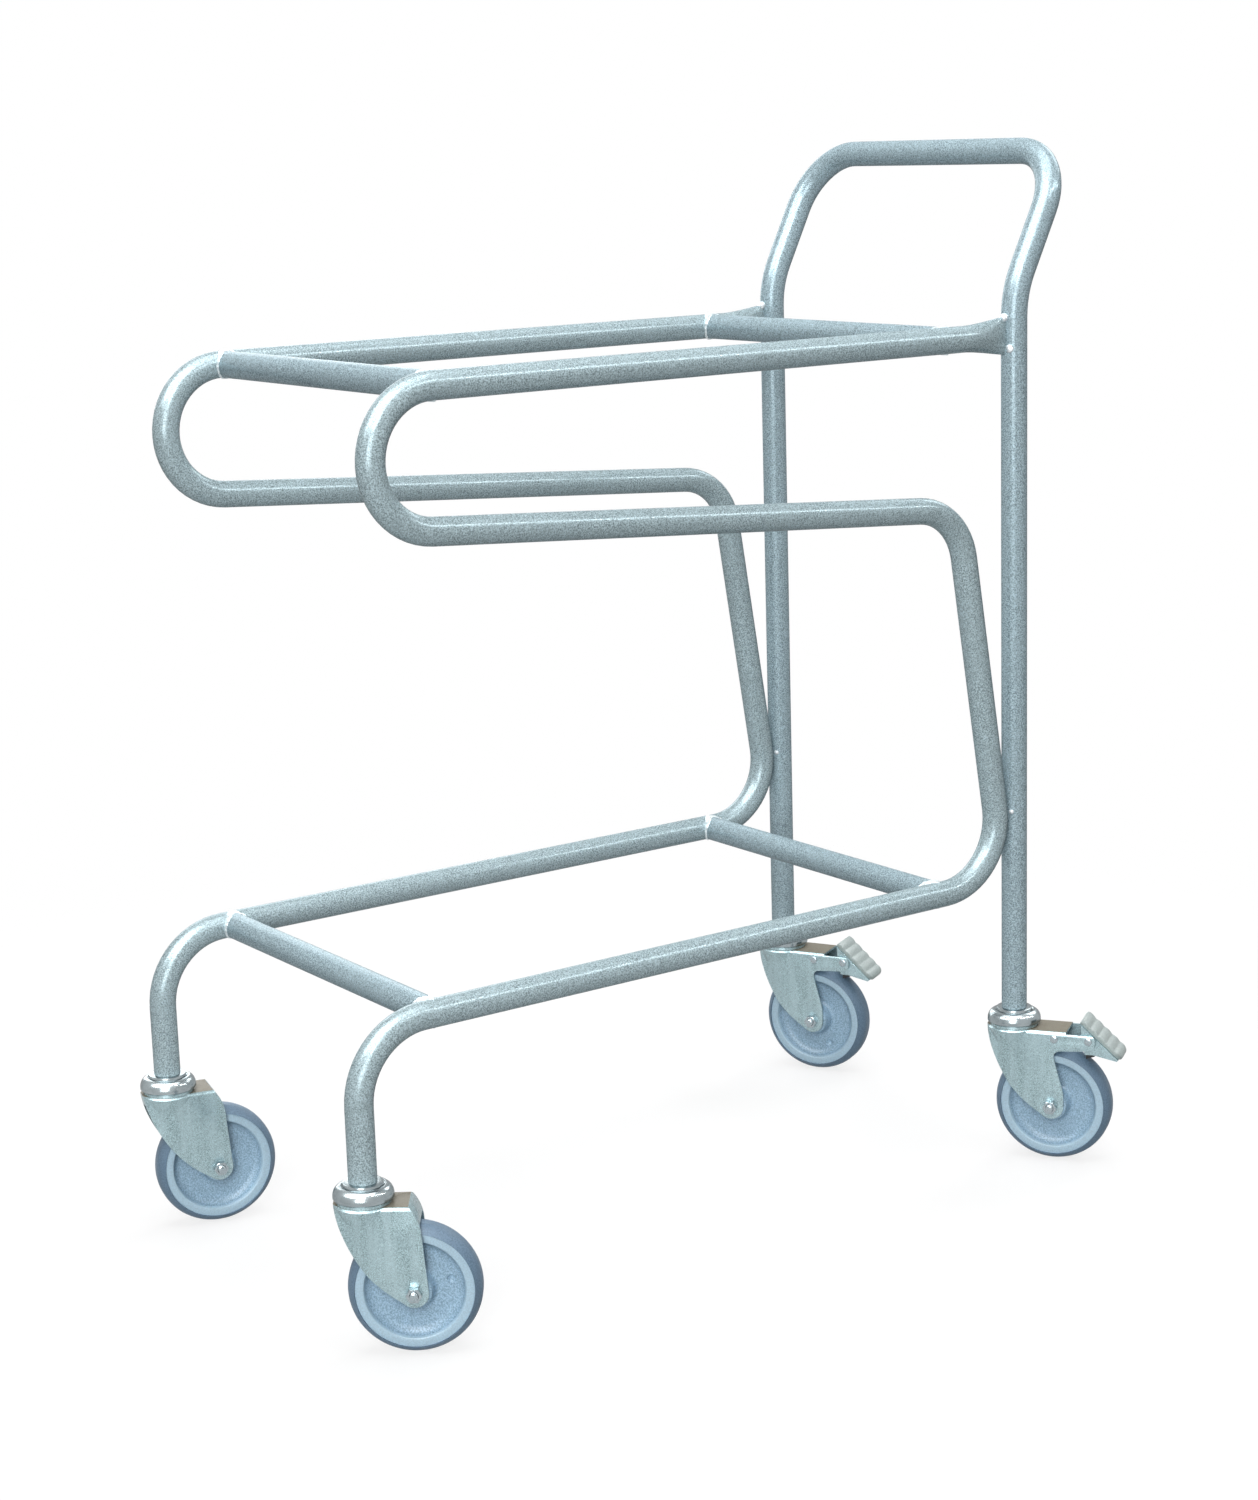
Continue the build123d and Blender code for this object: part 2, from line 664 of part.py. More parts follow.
def shoe_corner():
    """Working corner of the brake shoe, from the pivot, where it stands clear of the tread."""
    turn = radians(SHOE_ANGLE)
    across = BRAKE_PIVOT_BACK * cos(turn) - (BRAKE_PIN_Z - WHEEL_R) * sin(turn)
    along = BRAKE_PIVOT_BACK * sin(turn) + (BRAKE_PIN_Z - WHEEL_R) * cos(turn)
    reach = along - sqrt((WHEEL_R + SHOE_REST_GAP) ** 2 - across**2)
    return (-reach * sin(turn), -reach * cos(turn))


def make_brake_pins(corner, base):
    across = FORK_W / 2
    with BuildPart() as pins:
        with BuildSketch(side_plane(base)):
            with Locations((BRAKE_PIVOT_Y, BRAKE_PIN_Z), (BRAKE_RIVET_Y, BRAKE_PIN_Z)):
                Circle(PIN_R)
        extrude(amount=across, both=True)
        for face_at, outward in ((across, PIN_HEAD_H), (-across, -PIN_HEAD_H)):
            with BuildSketch(side_plane(base, face_at)):
                with Locations((BRAKE_PIVOT_Y, BRAKE_PIN_Z), (BRAKE_RIVET_Y, BRAKE_PIN_Z)):
                    Circle(PIN_HEAD_D / 2)
            extrude(amount=outward)
    keep(pins, f"brake_pins_{corner}")


def make_brake_lever(corner, base):
    shoe_y, shoe_z = shoe_corner()
    seat_z = shoe_z + SHOE_H
    under_pedal = PEDAL_RISE - LEVER_SHEET
    rear_end = PEDAL_REAR - LEVER_INSET
    with BuildPart() as lever:
        with BuildSketch(lever_plane(base)):
            with BuildLine():
                Polyline(
                    pedal_point(LEVER_INSET - PEDAL_FRONT, PEDAL_RISE),
                    pedal_point(rear_end, PEDAL_RISE),
                    pedal_point(rear_end, under_pedal),
                    (shoe_y + SHOE_LENGTH, seat_z),
                    (shoe_y, seat_z),
                    (-LEVER_FRONT, 0),
                    close=True,
                )
            make_face()
        extrude(amount=LEVER_W / 2, both=True)
        # Inside of the channel, between the pedal's plate, the shoe's seat and the two flanges
        with BuildSketch(lever_plane(base)):
            with BuildLine():
                Polyline(
                    pedal_point(-PEDAL_FRONT - PEDAL_REAR, under_pedal),
                    pedal_point(PEDAL_REAR + LEVER_W, under_pedal),
                    (shoe_y + SHOE_LENGTH, seat_z - LEVER_W),
                    (shoe_y + SHOE_LENGTH, seat_z + LEVER_SHEET),
                    (-LEVER_FRONT - PEDAL_REAR, seat_z + LEVER_SHEET),
                    close=True,
                )
            make_face()
        extrude(amount=LEVER_W / 2 - LEVER_SHEET, both=True, mode=Mode.SUBTRACT)
        with BuildSketch(lever_plane(base)):
            Circle(PIN_R + RUNNING_CLEARANCE)
        extrude(amount=LEVER_W / 2, both=True, mode=Mode.SUBTRACT)
    keep(lever, f"brake_lever_{corner}")


def pedal_profile(plane):
    """Side outline of the pedal, flat below, with rounded ridges across its top."""
    top = PEDAL_RISE + PEDAL_T
    pitch = (PEDAL_FRONT + PEDAL_REAR) / RIDGE_COUNT
    hollows = [pedal_point(PEDAL_REAR - pitch * number, top) for number in range(RIDGE_COUNT + 1)]
    with BuildSketch(plane) as profile:
        with BuildLine():
            for ridge_rear, ridge_front in zip(hollows, hollows[1:]):
                SagittaArc(ridge_rear, ridge_front, -RIDGE_H)
            Polyline(
                hollows[-1],
                pedal_point(-PEDAL_FRONT, PEDAL_RISE),
                pedal_point(PEDAL_REAR, PEDAL_RISE),
                hollows[0],
            )
        make_face()
    return profile


def make_brake_pedal(corner, base):
    side = lever_plane(base)
    slope = side.from_local_coords(pedal_point(1, 0)) - side.origin
    upward = side.from_local_coords(pedal_point(0, 1)) - side.origin
    with BuildPart() as pedal:
        profile = pedal_profile(side)
        extrude(profile.sketch, amount=PEDAL_W / 2, both=True)
        corners = pedal.edges().filter_by(Axis(side.origin, upward))
        fillet(corners.sort_by(Axis(side.origin, slope))[-2:], radius=PEDAL_CORNER_R)
    keep(pedal, f"brake_pedal_{corner}")


def make_brake_shoe(corner, base):
    shoe_y, shoe_z = shoe_corner()
    with BuildPart() as shoe:
        with BuildSketch(lever_plane(base)):
            with BuildLine():
                Polyline(
                    (shoe_y, shoe_z),
                    (shoe_y + SHOE_LENGTH, shoe_z + SHOE_H / 2),
                    (shoe_y + SHOE_LENGTH, shoe_z + SHOE_H),
                    (shoe_y, shoe_z + SHOE_H),
                    close=True,
                )
            make_face()
        extrude(amount=SHOE_W / 2, both=True)
    keep(shoe, f"brake_shoe_{corner}")


os.makedirs("parts", exist_ok=True)

for side_name in SIDE_SIGN:
    make_side_frame(side_name)
make_push_handle()
make_crossbar("top_front", NOSE_Y + TOP_FRONT_BAR_SETBACK, TOP_RAIL_Z, at_nose=True)
make_crossbar("top_rear", FLAT_START_Y - TOP_REAR_BAR_SETBACK, TOP_RAIL_Z)
make_crossbar("lower_front", LEG_BEND_Y + LOWER_BAR_SETBACK, LOWER_RAIL_Z)
make_crossbar("lower_rear", LOWER_BEND_Y - LOWER_BAR_SETBACK, LOWER_RAIL_Z)

caster_planes = {corner: caster_plane(corner) for corner in SWIVEL_ANGLE}
make_stems(caster_planes.values())
make_swivel_heads(caster_planes.values())
for corner_name, floor_plane in caster_planes.items():
    make_fork(corner_name, floor_plane)
    make_axle_bolt(corner_name, floor_plane)
    make_axle_nut(corner_name, floor_plane)
    make_axle_bush(corner_name, floor_plane)
    make_wheel_core(corner_name, floor_plane)
    make_tread(corner_name, floor_plane)
    if corner_name in BRAKED:
        make_brake_pins(corner_name, floor_plane)
        make_brake_lever(corner_name, floor_plane)
        make_brake_pedal(corner_name, floor_plane)
        make_brake_shoe(corner_name, floor_plane)
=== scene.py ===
from math import cos, hypot, pi, radians, sin, sqrt

import bmesh
import bpy
from mathutils import Matrix, Vector


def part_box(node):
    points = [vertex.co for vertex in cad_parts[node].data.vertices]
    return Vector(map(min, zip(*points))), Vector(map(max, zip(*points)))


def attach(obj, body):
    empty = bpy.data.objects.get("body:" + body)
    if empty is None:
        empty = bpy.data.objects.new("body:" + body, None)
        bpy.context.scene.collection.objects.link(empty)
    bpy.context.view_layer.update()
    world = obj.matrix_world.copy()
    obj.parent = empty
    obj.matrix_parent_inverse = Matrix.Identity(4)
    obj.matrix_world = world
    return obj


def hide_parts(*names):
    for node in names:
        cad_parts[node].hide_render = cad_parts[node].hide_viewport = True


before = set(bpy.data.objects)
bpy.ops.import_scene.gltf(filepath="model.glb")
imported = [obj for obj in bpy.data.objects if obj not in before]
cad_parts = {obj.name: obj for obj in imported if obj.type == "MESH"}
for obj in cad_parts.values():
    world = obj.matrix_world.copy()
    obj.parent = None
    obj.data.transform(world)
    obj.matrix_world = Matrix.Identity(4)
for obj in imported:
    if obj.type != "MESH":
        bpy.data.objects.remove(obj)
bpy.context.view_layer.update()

# Crate trolley of bent tube on four swivel casters. Lengths are metres, in the frame of the CAD model:
# the nose points to -Y, the handle is at +Y, +Z is up and the origin is on the floor.

MM = 0.001
MERGE = 0.01 * MM

# Tube frame
TUBE_R = 13.45 * MM
SIDE_X = 199 * MM
STEM_Y = 404 * MM
TOP_RAIL_Z = 881 * MM
FLAT_HALF_H = 19.4 * MM
LEAN_TOUCH_Z = 383 * MM
CROSSBARS = ("crossbar_top_front", "crossbar_top_rear", "crossbar_lower_front", "crossbar_lower_rear")

# Casters: degrees that each has swung round from trailing straight back, and that its wheel has rolled
SWING = {"front_left": 35.3, "front_right": 14.0, "rear_left": 55.2, "rear_right": 61.5}
ROLL = {"front_left": 12, "front_right": 125, "rear_left": 125, "rear_right": -63}
BRAKED = ("rear_left", "rear_right")
TRAIL = 44 * MM
AXLE_Z = 62.5 * MM
FORK_HALF_W = 22 * MM
FORK_TOP_Z = 146 * MM
HEX_FLATS = 13 * MM
BOLT_R = 4 * MM
BOLT_HEAD_H = 5.3 * MM
NUT_H = 6.5 * MM
BOLT_END = 3 * MM
BRAKE_PIN_Z = 138 * MM
BRAKE_PIVOT_Y = 84 * MM
BRAKE_RIVET_Y = 47.5 * MM
PEDAL_TILT = radians(42.5)
PEDAL_FRONT = 20 * MM
PEDAL_REAR = 38 * MM
PEDAL_RISE = 7.3 * MM
PEDAL_HALF_W = 18 * MM
PEDAL_T = 4.2 * MM
PEDAL_CORNER_R = 9 * MM
RIDGE_COUNT = 5
RIDGE_H = 1.0 * MM


# Working on a mesh by hand


def deselect_all():
    bpy.ops.object.select_all(action="DESELECT")


def pick(piece):
    deselect_all()
    piece.select_set(True)
    bpy.context.view_layer.objects.active = piece


def open_mesh(piece, by="VERT"):
    pick(piece)
    bpy.ops.object.mode_set(mode="EDIT")
    bpy.ops.mesh.select_mode(type=by)
    bpy.ops.mesh.select_all(action="DESELECT")


def close_mesh():
    bpy.ops.object.mode_set(mode="OBJECT")


def select_points(piece, wanted):
    """Selects the vertices, and what lies between them, whose place passes the test."""
    mesh = bmesh.from_edit_mesh(piece.data)
    for point in mesh.verts:
        point.select_set(wanted(point.co))
    mesh.select_flush(True)
    bmesh.update_edit_mesh(piece.data)


def close_shell(piece):
    """Merges doubled points and turns every face outwards."""
    open_mesh(piece)
    bpy.ops.mesh.select_all(action="SELECT")
    bpy.ops.mesh.remove_doubles(threshold=MERGE)
    bpy.ops.mesh.normals_make_consistent(inside=False)
    close_mesh()


def smooth(piece, angle=32):
    pick(piece)
    bpy.ops.object.shade_smooth_by_angle(angle=radians(angle))


def apply_place(piece):
    pick(piece)
    bpy.ops.object.transform_apply(location=True, rotation=True, scale=True)


def finish_modifier(piece, modifier):
    pick(piece)
    bpy.ops.object.modifier_apply(modifier=modifier.name)


def round_edges(piece, width, steps=3, angle=32):
    """Rounds every edge that turns by more than the angle."""
    bevel = piece.modifiers.new("Rounded edges", "BEVEL")
    bevel.width = width
    bevel.segments = steps
    bevel.limit_method = "ANGLE"
    bevel.angle_limit = radians(angle)
    finish_modifier(piece, bevel)


def combine(piece, other, way):
    """Keeps what two pieces share (INTERSECT) or cuts the other out (DIFFERENCE). The other is used up."""
    cut = piece.modifiers.new("Combined", "BOOLEAN")
    cut.operation = way
    cut.solver = "EXACT"
    cut.object = other
    finish_modifier(piece, cut)
    bpy.data.objects.remove(other)


def copy_of(piece, name, place=Matrix.Identity(4)):
    """Another of the piece, with its own mesh, set in its place."""
    twin = bpy.data.objects.new(name, piece.data.copy())
    bpy.context.collection.objects.link(twin)
    twin.matrix_world = place
    apply_place(twin)
    return twin


def join_as(name, pieces):
    pick(pieces[0])
    for piece in pieces[1:]:
        piece.select_set(True)
    bpy.ops.object.join()
    pieces[0].name = name
    return pieces[0]


def turned(name, rings, sides=72, solid=False):
    """A piece turned about the Z axis through rings of (radius, height). A solid one has closed ends."""
    radius, height = rings[0]
    deselect_all()
    bpy.ops.mesh.primitive_circle_add(vertices=sides, radius=radius, location=(0, 0, height))
    piece = bpy.context.object
    piece.name = name
    apply_place(piece)
    open_mesh(piece, by="EDGE")
    bpy.ops.mesh.select_all(action="SELECT")
    for next_radius, next_height in rings[1:]:
        rise = (0, 0, next_height - height)
        bpy.ops.mesh.extrude_region_move(TRANSFORM_OT_translate={"value": rise})
        ratio = next_radius / radius
        bpy.ops.transform.resize(value=(ratio, ratio, 1), center_override=(0, 0, next_height))
        radius, height = next_radius, next_height
    if solid:
        bpy.ops.mesh.select_all(action="SELECT")
        bpy.ops.mesh.fill_holes(sides=0)
    close_mesh()
    close_shell(piece)
    return piece


def round_ring(piece, radius, height, width, steps=4):
    """Rounds the corner of a turned piece at one radius, on both of its ends."""
    near = 0.02 * MM
    open_mesh(piece, by="EDGE")
    select_points(
        piece,
        lambda at: abs(hypot(at.x, at.y) - radius) < near and abs(abs(at.z) - height) < near,
    )
    bpy.ops.mesh.bevel(offset=width, segments=steps, affect="EDGES")
    close_mesh()


# Places on the casters


def caster_place(corner):
    """From a caster's own axes, X along the axle and Y the way it trails, to the trolley's."""
    end, side = corner.split("_")
    stem = Vector((SIDE_X if side == "left" else -SIDE_X, STEM_Y if end == "rear" else -STEM_Y, 0))
    return Matrix.Translation(stem) @ Matrix.Rotation(-radians(SWING[corner]), 4, "Z")


def across_caster(trail, height):
    """Turns a piece made about the Z axis to lie across a caster, at a place of its side."""
    return Matrix.Translation((0, trail, height)) @ Matrix.Rotation(pi / 2, 4, "Y")


ON_AXLE = across_caster(TRAIL, AXLE_Z)


# Settling a finished piece in the place of its CAD node, with its material


def settle(piece, node, body, material):
    """Puts a finished piece in the place of its CAD node, on its body."""
    piece.data.materials.clear()
    piece.data.materials.append(material)
    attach(piece, body)
    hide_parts(node)


# Effects that several finishes share


def add_node(tree, kind, **settings):
    node = tree.nodes.new(kind)
    for name, value in settings.items():
        setattr(node, name, value)
    return node


def link(tree, output, target):
    tree.links.new(output, target)


def value_between(tree, factor, low, high, start=0, end=1):
    """A value that runs from low to high as the factor runs from start to end."""
    spread = add_node(tree, "ShaderNodeMapRange")
    spread.inputs["From Min"].default_value = start
    spread.inputs["From Max"].default_value = end
    spread.inputs["To Min"].default_value = low
    spread.inputs["To Max"].default_value = high
    link(tree, factor, spread.inputs["Value"])
    return spread.outputs["Result"]


def start_group(name, result):
    """An empty effect with a size and one result."""
    group = bpy.data.node_groups.new(name, "ShaderNodeTree")
    group.interface.new_socket("Size", in_out="INPUT", socket_type="NodeSocketFloat")
    group.interface.new_socket(result, in_out="OUTPUT", socket_type="NodeSocketFloat")
    return group, group.nodes.new("NodeGroupInput"), group.nodes.new("NodeGroupOutput")


def make_fine_grain():
    """Fine crystals of a zinc coat or a moulded skin. Tone runs from about 0 to 1."""
    group, inputs, outputs = start_group("Fine grain", "Tone")
    place = add_node(group, "ShaderNodeTexCoord")
    crystals = add_node(group, "ShaderNodeTexVoronoi", feature="F1")
    mist = add_node(group, "ShaderNodeTexNoise")
    mist.inputs["Detail"].default_value = 3
    blend = add_node(group, "ShaderNodeMath", operation="MULTIPLY_ADD")
    blend.inputs[1].default_value = 0.35
    for texture in (crystals, mist):
        link(group, place.outputs["Object"], texture.inputs["Vector"])
        link(group, inputs.outputs["Size"], texture.inputs["Scale"])
    link(group, crystals.outputs["Distance"], blend.inputs[0])
    speckle = value_between(group, mist.outputs["Fac"], -0.1, 0.8, 0.36, 0.64)
    link(group, speckle, blend.inputs[2])
    link(group, blend.outputs["Value"], outputs.inputs["Tone"])
    return group


def make_soft_clouds():
    """Broad, soft changes of tone, as a dipped coat or a handled surface has."""
    group, inputs, outputs = start_group("Soft clouds", "Mask")
    place = add_node(group, "ShaderNodeTexCoord")
    cloud = add_node(group, "ShaderNodeTexNoise")
    cloud.inputs["Detail"].default_value = 4
    link(group, place.outputs["Object"], cloud.inputs["Vector"])
    link(group, inputs.outputs["Size"], cloud.inputs["Scale"])
    mask = value_between(group, cloud.outputs["Fac"], 0, 1, 0.35, 0.65)
    link(group, mask, outputs.inputs["Mask"])
    return group


def make_drawn_streaks():
    """Soft upright streaks, as drawn sheet has."""
    group, inputs, outputs = start_group("Drawn streaks", "Mask")
    place = add_node(group, "ShaderNodeTexCoord")
    stretch = add_node(group, "ShaderNodeMapping")
    stretch.inputs["Scale"].default_value = (1, 1, 0.12)
    streak = add_node(group, "ShaderNodeTexNoise")
    streak.inputs["Detail"].default_value = 3
    link(group, place.outputs["Object"], stretch.inputs["Vector"])
    link(group, stretch.outputs["Vector"], streak.inputs["Vector"])
    link(group, inputs.outputs["Size"], streak.inputs["Scale"])
    mask = value_between(group, streak.outputs["Fac"], 0, 1, 0.35, 0.65)
    link(group, mask, outputs.inputs["Mask"])
    return group


FINE_GRAIN = make_fine_grain()
SOFT_CLOUDS = make_soft_clouds()
DRAWN_STREAKS = make_drawn_streaks()


def place_effect(tree, group, size):
    """The result of an effect, at a size: the higher the number, the finer."""
    effect = add_node(tree, "ShaderNodeGroup", node_tree=group)
    effect.inputs["Size"].default_value = size
    return effect.outputs[0]


def colour_ramp(tree, factor, dark, light):
    """A colour that runs from dark to light with a factor."""
    ramp = add_node(tree, "ShaderNodeValToRGB")
    ramp.color_ramp.elements[0].color = (*dark, 1)
    ramp.color_ramp.elements[1].color = (*light, 1)
    link(tree, factor, ramp.inputs["Fac"])
    return ramp.outputs["Color"]


def tint(tree, colour, mask, shade, amount):
    """The colour with a shade laid over it where the mask is high."""
    share = add_node(tree, "ShaderNodeMath", operation="MULTIPLY")
    share.inputs[1].default_value = amount
    link(tree, mask, share.inputs[0])
    mix = add_node(tree, "ShaderNodeMix", data_type="RGBA")
    link(tree, share.outputs["Value"], mix.inputs["Factor"])
    link(tree, colour, mix.inputs["A"])
    mix.inputs["B"].default_value = (*shade, 1)
    return mix.outputs["Result"]


def bumps(tree, height, depth, strength):
    bump = add_node(tree, "ShaderNodeBump")
    bump.inputs["Strength"].default_value = strength
    bump.inputs["Distance"].default_value = depth
    link(tree, height, bump.inputs["Height"])
    return bump.outputs["Normal"]


def start_finish(name, **plain):
    """A new material and its shader, with the values that are the same all over."""
    material = bpy.data.materials.new(name)
    material.use_nodes = True
    tree = material.node_tree
    shader = tree.nodes["Principled BSDF"]
    for label, value in plain.items():
        shader.inputs[label.replace("_", " ")].default_value = value
    return material, tree, shader.inputs


# Finishes

EDGE_TINT = (0.6, 0.6, 0.6, 1)  # zinc stays dull where it is seen edge on


def make_galvanised(name, dark, light):
    """Cool grey zinc on the tubes, finely speckled, with a faint gloss."""
    material, tree, shader = start_finish(
        name, Specular_IOR_Level=0, Specular_Tint=EDGE_TINT, Coat_Weight=0.08, Coat_Roughness=0.1
    )
    grain = place_effect(tree, FINE_GRAIN, 760)
    clouds = place_effect(tree, SOFT_CLOUDS, 22)
    colour = colour_ramp(tree, grain, dark, light)
    colour = tint(tree, colour, clouds, (0.36, 0.46, 0.50), 0.12)
    link(tree, colour, shader["Base Color"])
    link(tree, value_between(tree, grain, 0.26, 0.11), shader["Metallic"])
    link(tree, value_between(tree, clouds, 0.24, 0.29), shader["Roughness"])
    link(tree, bumps(tree, grain, 0.03 * MM, 0.04), shader["Normal"])
    return material


def make_weld(name, dark, light):
    """Uneven zinc over a weld, painted paler than the tubes: a painted highlight for the glint a weld
    catches.
    """
    material, tree, shader = start_finish(name, Metallic=0.3, Coat_Weight=0.2, Coat_Roughness=0.15)
    grain = place_effect(tree, FINE_GRAIN, 500)
    clouds = place_effect(tree, SOFT_CLOUDS, 160)
    colour = colour_ramp(tree, grain, dark, light)
    link(tree, colour, shader["Base Color"])
    link(tree, value_between(tree, clouds, 0.22, 0.4), shader["Roughness"])
    link(tree, bumps(tree, clouds, 0.3 * MM, 0.5), shader["Normal"])
    return material


def make_caster_zinc():
    """Bright zinc plate on the pressed forks and levers. The forks' flat tops are rougher and carry a
    painted dark brown reflection.
    """
    material, tree, shader = start_finish(
        "caster_zinc",
        Metallic=0.55,
        Specular_IOR_Level=0.25,
        Specular_Tint=EDGE_TINT,
        Coat_Weight=0.1,
        Coat_Roughness=0.08,
    )
    grain = place_effect(tree, FINE_GRAIN, 1100)
    streaks = place_effect(tree, DRAWN_STREAKS, 110)
    clouds = place_effect(tree, SOFT_CLOUDS, 45)
    colour = colour_ramp(tree, grain, (0.12, 0.175, 0.185), (0.50, 0.67, 0.71))
    colour = tint(tree, colour, streaks, (0.46, 0.60, 0.64), 0.5)
    tops = add_node(tree, "ShaderNodeAttribute", attribute_name="dull_top_painted_reflection").outputs["Fac"]
    # Painted reflection: the forks' flat tops are tinted dark brown, as dark surroundings would show in
    # them.
    colour = tint(tree, colour, tops, (0.14, 0.11, 0.07), 0.88)
    link(tree, colour, shader["Base Color"])
    dull = add_node(tree, "ShaderNodeMath", operation="MULTIPLY_ADD")
    dull.inputs[1].default_value = 0.4
    link(tree, tops, dull.inputs[0])
    link(tree, value_between(tree, clouds, 0.24, 0.34), dull.inputs[2])
    link(tree, dull.outputs["Value"], shader["Roughness"])
    link(tree, bumps(tree, grain, 0.01 * MM, 0.1), shader["Normal"])
    return material


def make_chrome():
    """Polished plate on the swivel heads. Its colour is kept dark grey, a painted reflection of dark
    surroundings.
    """
    material, tree, shader = start_finish("swivel_chrome", Metallic=1, Specular_Tint=EDGE_TINT)
    clouds = place_effect(tree, SOFT_CLOUDS, 70)
    # Painted reflection: the dark grey colour stands in for dark surroundings seen in the polish.
    colour = colour_ramp(tree, clouds, (0.27, 0.31, 0.325), (0.34, 0.385, 0.40))
    link(tree, colour, shader["Base Color"])
    link(tree, value_between(tree, clouds, 0.2, 0.25), shader["Roughness"])
    return material


def make_fastener_zinc():
    """Bright plate on bolts, nuts, rivets and bushes."""
    material, tree, shader = start_finish("fastener_zinc", Metallic=0.85)
    grain = place_effect(tree, FINE_GRAIN, 1500)
    clouds = place_effect(tree, SOFT_CLOUDS, 200)
    colour = colour_ramp(tree, grain, (0.26, 0.31, 0.33), (0.42, 0.48, 0.51))
    link(tree, colour, shader["Base Color"])
    link(tree, value_between(tree, clouds, 0.16, 0.28), shader["Roughness"])
    return material


def make_moulded(name, dark, light, rough, painted_rim_light=None):
    """A moulded plastic or rubber skin. Where the mesh marks a rim, a paler colour is painted on: painted
    light, which makes the recessed dish inside it look shaded.
    """
    material, tree, shader = start_finish(name, Specular_IOR_Level=0.4)
    grain = place_effect(tree, FINE_GRAIN, 700)
    clouds = place_effect(tree, SOFT_CLOUDS, 40)
    colour = colour_ramp(tree, grain, dark, light)
    if painted_rim_light:
        # Painted light: the colour is laid paler where the mesh marks the rim, so the hollow inside looks
        # shaded.
        rim_light_mask = add_node(tree, "ShaderNodeAttribute", attribute_name="painted_rim_light")
        colour = tint(tree, colour, rim_light_mask.outputs["Fac"], painted_rim_light, 0.6)
    link(tree, colour, shader["Base Color"])
    wear = 0.06
    link(tree, value_between(tree, clouds, rough - wear, rough + wear), shader["Roughness"])
    link(tree, bumps(tree, grain, 0.03 * MM, 0.3), shader["Normal"])
    return material


SIDE_ZINC = make_galvanised("side_galvanised", (0.165, 0.215, 0.225), (0.53, 0.665, 0.715))
# Painted shade: the crossbars and the push handle get a darker, bluer copy of the side tubes' zinc, for
# the dimmer light they catch.
BAR_ZINC_PAINTED_SHADE = make_galvanised("bar_galvanised_painted_shade", (0.153, 0.206, 0.224), (0.495, 0.64, 0.71))
# Painted highlight: the weld beads and dabs are coloured near white, paler than the tubes.
WELD_BEAD_PAINTED_HIGHLIGHT = make_weld("weld_bead", (0.60, 0.68, 0.71), (0.84, 0.92, 0.94))
WELD_DAB_PAINTED_HIGHLIGHT = make_weld("weld_dab", (0.66, 0.71, 0.74), (0.88, 0.92, 0.94))
CASTER_ZINC = make_caster_zinc()
CHROME = make_chrome()
FASTENER_ZINC = make_fastener_zinc()
# Painted light: the wheel's rim is coloured paler than its dish, so the recessed dish looks shaded.
RIM_PAINTED_LIGHT = (0.52, 0.70, 0.81)
WHEEL_PLASTIC = make_moulded("wheel_plastic", (0.2, 0.31, 0.405), (0.41, 0.59, 0.74), 0.42, RIM_PAINTED_LIGHT)
TREAD_RUBBER = make_moulded("tread_rubber", (0.10, 0.165, 0.235), (0.155, 0.245, 0.345), 0.55)
PEDAL_PLASTIC = make_moulded("pedal_plastic", (0.29, 0.355, 0.35), (0.43, 0.495, 0.485), 0.45)
SHOE_RUBBER = make_moulded("shoe_rubber", (0.012, 0.014, 0.015), (0.028, 0.03, 0.032), 0.6)


# Tubes, stems and bushes keep their CAD shapes


def dress_cad_nodes():
    for name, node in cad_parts.items():
        if name.startswith("side_frame"):
            finish = SIDE_ZINC
        elif name.startswith(("push_handle", "crossbar")):
            # painted shade: the darker, bluer copy of the tubes' zinc
            finish = BAR_ZINC_PAINTED_SHADE
        elif name.startswith(("caster_stems", "axle_bush")):
            finish = FASTENER_ZINC
        else:
            continue
        node.data.materials.clear()
        node.data.materials.append(finish)


# Welds


def model_weld_bead():
    """The bead round a crossbar's end, along the saddle where two equal tubes meet, broad at its top."""
    segments = 96
    bead_r = 2.6 * MM
    lean = 3.5 * MM
    ripple_share, ripple_segments = 0.12, 6
    side_width, top_width, thickness = 0.8, 1.7, 0.5
    deselect_all()
    bpy.ops.mesh.primitive_torus_add(
        major_segments=segments,
        minor_segments=10,
        major_radius=TUBE_R,
        minor_radius=bead_r,
        rotation=(0, pi / 2, 0),
    )
    bead = bpy.context.object
    bead.name = "weld_bead"
    apply_place(bead)
    open_mesh(bead)
    step = 2 * pi / segments
    for segment in range(segments):
        turn = segment * step
        way = Vector((0, cos(turn), sin(turn)))
        select_points(bead, lambda at: Vector((0, at.y, at.z)).normalized().dot(way) > cos(step / 3))
        ripple = 1 + ripple_share * sin(segment * 2 * pi / ripple_segments)
        upper = max(0, sin(turn)) ** 1.2
        wide = ripple * (side_width + top_width * upper)
        thick = ripple * thickness
        bpy.ops.transform.resize(value=(wide, thick, thick), center_override=TUBE_R * way)
        bpy.ops.transform.translate(value=(-TUBE_R * abs(cos(turn)) - lean * upper, 0, 0))
        bpy.ops.mesh.hide()
    bpy.ops.mesh.reveal(select=False)
    close_mesh()
    smooth(bead, 60)
    return bead


def set_weld(piece, finish):
    piece.data.materials.append(finish)
    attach(piece, "frame")


def weld_crossbars():
    bead = model_weld_bead()
    for bar in CROSSBARS:
        low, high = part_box(bar)
        middle = (Vector(low) + Vector(high)) / 2
        for side, way in (("left", 1), ("right", -1)):
            spot = Matrix.Translation((way * SIDE_X, middle.y, middle.z)) @ Matrix.Diagonal((way, 1, 1, 1))
            weld = copy_of(bead, f"weld_{bar}_{side}", spot)
            close_shell(weld)
            set_weld(weld, WELD_BEAD_PAINTED_HIGHLIGHT)
    bpy.data.objects.remove(bead)


